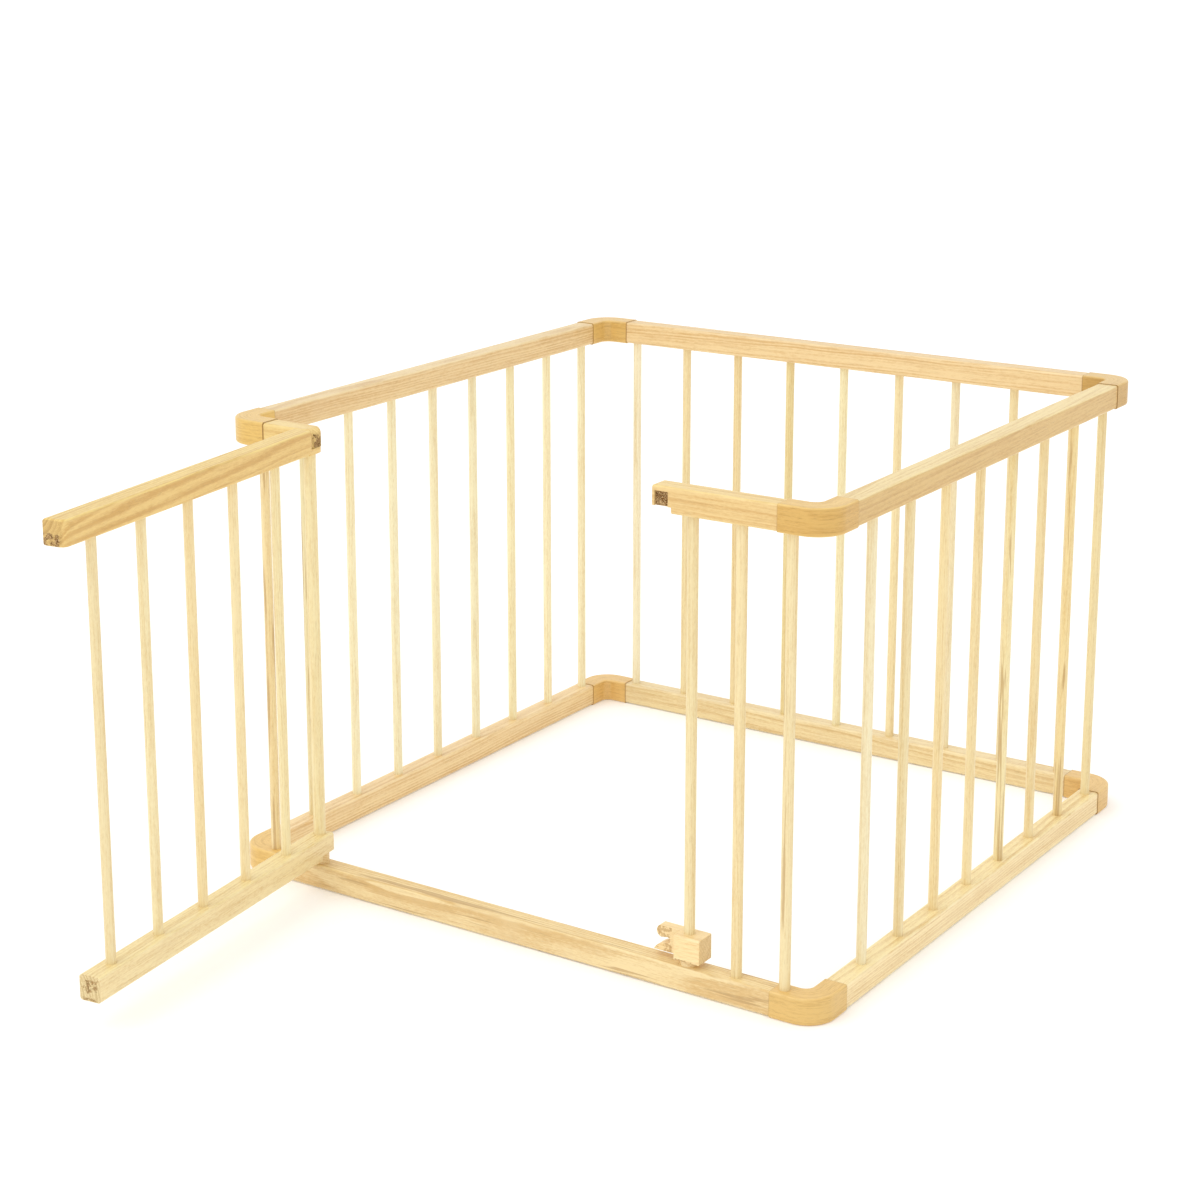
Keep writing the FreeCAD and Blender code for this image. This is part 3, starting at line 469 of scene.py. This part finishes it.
spars = [n for n in sorted(nodes) if n.startswith(("spar_", "gate_spar")) or n in ("hinge_dowel", "catch_post")]
streaky = {"spar_left_1": 0.45, "spar_front_1": 0.8, "spar_right_5": 0.5, "spar_right_7": 0.3, "spar_front_3": 0.12}
for k, n in enumerate(spars):
    rng = Rng(101 + 7 * k)
    c = middle(n)
    dress(n, wood("wood_" + n, "spar", upright(c, rng(0, 6.28)), 101 + 7 * k, grain_axis=Z, ring=0.0034,
                  tilt=rng(-0.010, 0.010), tint=rng(0.955, 1.03), warm=rng(-0.04, 0.10), streak=streaky.get(n, 0.0), strong=0.75, **tone_and_side_shading(n)))
for k, n in enumerate(("hinge_spacer", "catch_spacer")):
    dress(n, wood("wood_" + n, "catch", board(middle(n), 0.3 + k), 301 + k, grain_axis=None, tint=0.9))
dress("corner_pins", wood("wood_corner_pins", "spar", board(Vector((0, 0, 0))), 311, grain_axis=None))
cz = 0.063
dress("gate_catch", wood(
    "wood_gate_catch", "catch", board((POST.x, POST.y, cz), 0.0), 331, grain_axis=X, heart=(-0.060, 0.044), ring=0.0040,
    tilt=0.05, half=HALF, tint=1.0, strong=0.6,
    patches=[dict(lo=(-0.0160, None, None), hi=(-0.0140, 0.001, None), face=(-1, 0, 0), ragged=0.006, gaps=0.5, veins=0.5,
                  deep=(0.14, 0.070, 0.025), brown=(0.36, 0.20, 0.08)),
             dict(lo=(-0.0150, None, -0.0185), hi=(0.022, -0.0120, -0.0155), ragged=0.004, gaps=0.6, pick=5, veins=0.3,
                  deep=(0.25, 0.13, 0.05), brown=(0.45, 0.27, 0.11), amount=0.7),
             dict(lo=(-0.0560, -0.0010, -0.0180), hi=(-0.0285, 0.0012, 0.0190), face=(0, -1, 0), ragged=0.010, gaps=0.75, pick=12,
                  veins=0.6, deep=(0.34, 0.18, 0.07), brown=(0.55, 0.34, 0.15), amount=0.65)]))

# ---------------------------------------------------------------- floor, light, camera
me = bpy.data.meshes.new("floor")
bm = bmesh.new()
R = 60.0
vs = [bm.verts.new((x * R, y * R, -0.0004)) for x, y in ((-1, -1), (1, -1), (1, 1), (-1, 1))]
bm.faces.new(vs)
bm.to_mesh(me)
bm.free()
floor = bpy.data.objects.new("floor", me)
bpy.context.scene.collection.objects.link(floor)
ft = Tree("floor_pale")
fn = ft.noise(ft.scaled(ft.tc.outputs["Object"], (6.0, 6.0, 6.0), (0, 0, 0)), 1.0, 2.0)
ft.put(ft.bsdf.inputs["Base Color"], ft.mix(fn, (0.93, 0.93, 0.925), (0.95, 0.95, 0.945)))
ft.bsdf.inputs["Emission Color"].default_value = (1.0, 1.0, 1.0, 1.0)
ft.bsdf.inputs["Emission Strength"].default_value = 0.13
ft.bsdf.inputs["Roughness"].default_value = 0.8
ft.bsdf.inputs["Specular IOR Level"].default_value = 0.1
floor.data.materials.append(ft.mat)

world = bpy.data.worlds.new("studio")
bpy.context.scene.world = world
world.use_nodes = True
bg = world.node_tree.nodes.get("Background") or world.node_tree.nodes.new("ShaderNodeBackground")
bg.inputs["Color"].default_value = (1.0, 1.0, 1.0, 1.0)
bg.inputs["Strength"].default_value = 0.98


def sun(name, towards, strength, spread):
    d = bpy.data.lights.new(name, "SUN")
    d.energy = strength
    d.angle = math.radians(spread)
    o = bpy.data.objects.new(name, d)
    o.rotation_euler = Vector(towards).to_track_quat("Z", "Y").to_euler()
    bpy.context.scene.collection.objects.link(o)
    return o


sun("key", (-0.25, -0.55, 0.80), 0.62, 50.0)

cam_d = bpy.data.cameras.new("camera")
cam = bpy.data.objects.new("camera", cam_d)
bpy.context.scene.collection.objects.link(cam)
az, el, roll = 0.5993722, 0.2341807, -0.0035798
fwd = Vector((-math.sin(az) * math.cos(el), math.cos(az) * math.cos(el), -math.sin(el)))
right = fwd.cross(Vector((0.0, 0.0, 1.0))).normalized()
up = right.cross(fwd)
right, up = right * math.cos(roll) + up * math.sin(roll), up * math.cos(roll) - right * math.sin(roll)
turn = Matrix((right, up, -fwd)).transposed()
cam.matrix_world = Matrix.Translation((1.924632, -3.178583 + S, 1.486898)) @ turn.to_4x4()
cam_d.sensor_width = 36.0
cam_d.lens = 2517.949 / 1200.0 * 36.0
cam_d.shift_x = (600.0 - 560.0) / 1200.0
cam_d.shift_y = (460.0 - 600.0) / 1200.0
cam_d.clip_start = 0.05
cam_d.clip_end = 200.0
bpy.context.scene.camera = cam

vs = bpy.context.scene.view_settings
vs.view_transform = "Standard"
vs.look = "None"
vs.exposure = 0.0
vs.gamma = 1.0
